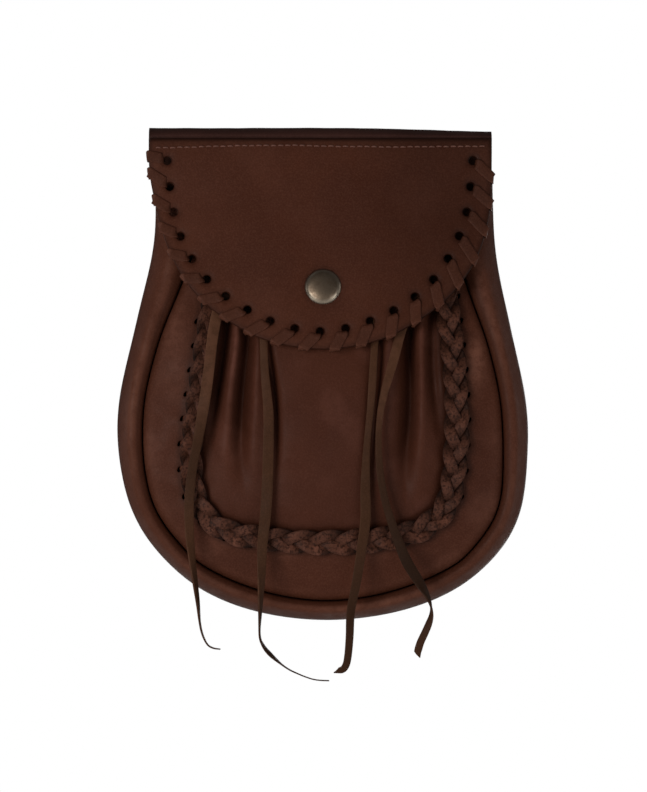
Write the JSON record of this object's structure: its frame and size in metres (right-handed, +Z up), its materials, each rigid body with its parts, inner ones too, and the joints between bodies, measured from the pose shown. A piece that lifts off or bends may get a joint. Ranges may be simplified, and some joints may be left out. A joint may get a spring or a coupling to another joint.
{
  "type": "leather belt pouch",
  "caption": "Leather belt pouch with a laced flap and snap over a gathered front panel edged with a braid, hanging thong tails, and belt loops on the back.",
  "frame": {"origin": "middle of the belt tunnel behind the back panel, between the two belt loops", "axes": "+X along the belt, to the right seen from the front; +Y towards the wearer; +Z up, with the flap's fold at the top"},
  "size_m": [0.1666, 0.0492, 0.2242],
  "materials": {
    "hide": "waxed, semi-matte, fine grain",
    "soft_hide": "soft, semi-matte",
    "strip_hide": "dark, semi-matte",
    "lace": "smooth, slightly waxed",
    "thong": "smooth, dark edges",
    "thread": "waxed thread",
    "metal": "antique nickel plate, satin"
  },
  "bodies": {
    "pouch": {"back_panel": "hide", "gusset": "hide", "front_frame": "hide", "pleated_front": "soft_hide", "braid_strand_1": "lace", "braid_strand_2": "lace", "braid_strand_3": "lace", "braid_anchor_lace": "lace", "left_tie": "thong", "right_tie": "thong", "tail_1": "thong", "tail_2": "thong", "tail_3": "thong", "tail_4": "thong", "snap_stud": "metal", "snap_post": "metal", "belt_loop_left": "hide", "belt_loop_right": "hide", "loop_stitching": "thread", "strip_rear_tab": "strip_hide", "strip_stitching": "thread"},
    "hinge_strip": {"strip_roof": "strip_hide"},
    "flap": {"flap": "hide", "flap_lace": "lace", "flap_stitching": "thread", "strip_front_tab": "strip_hide", "snap_cap": "metal", "snap_socket": "metal"}
  },
  "joints": [
    {"name": "strip_fold", "type": "hinge", "parent": "pouch", "child": "hinge_strip", "pos_m": [0, -0.0014, 0.0435], "axis": [-1, 0, 0], "range_deg": [0, 90]},
    {"name": "flap_fold", "type": "hinge", "parent": "hinge_strip", "child": "flap", "pos_m": [0, -0.0214, 0.0435], "axis": [-1, 0, 0], "range_deg": [0, 110]}
  ]
}
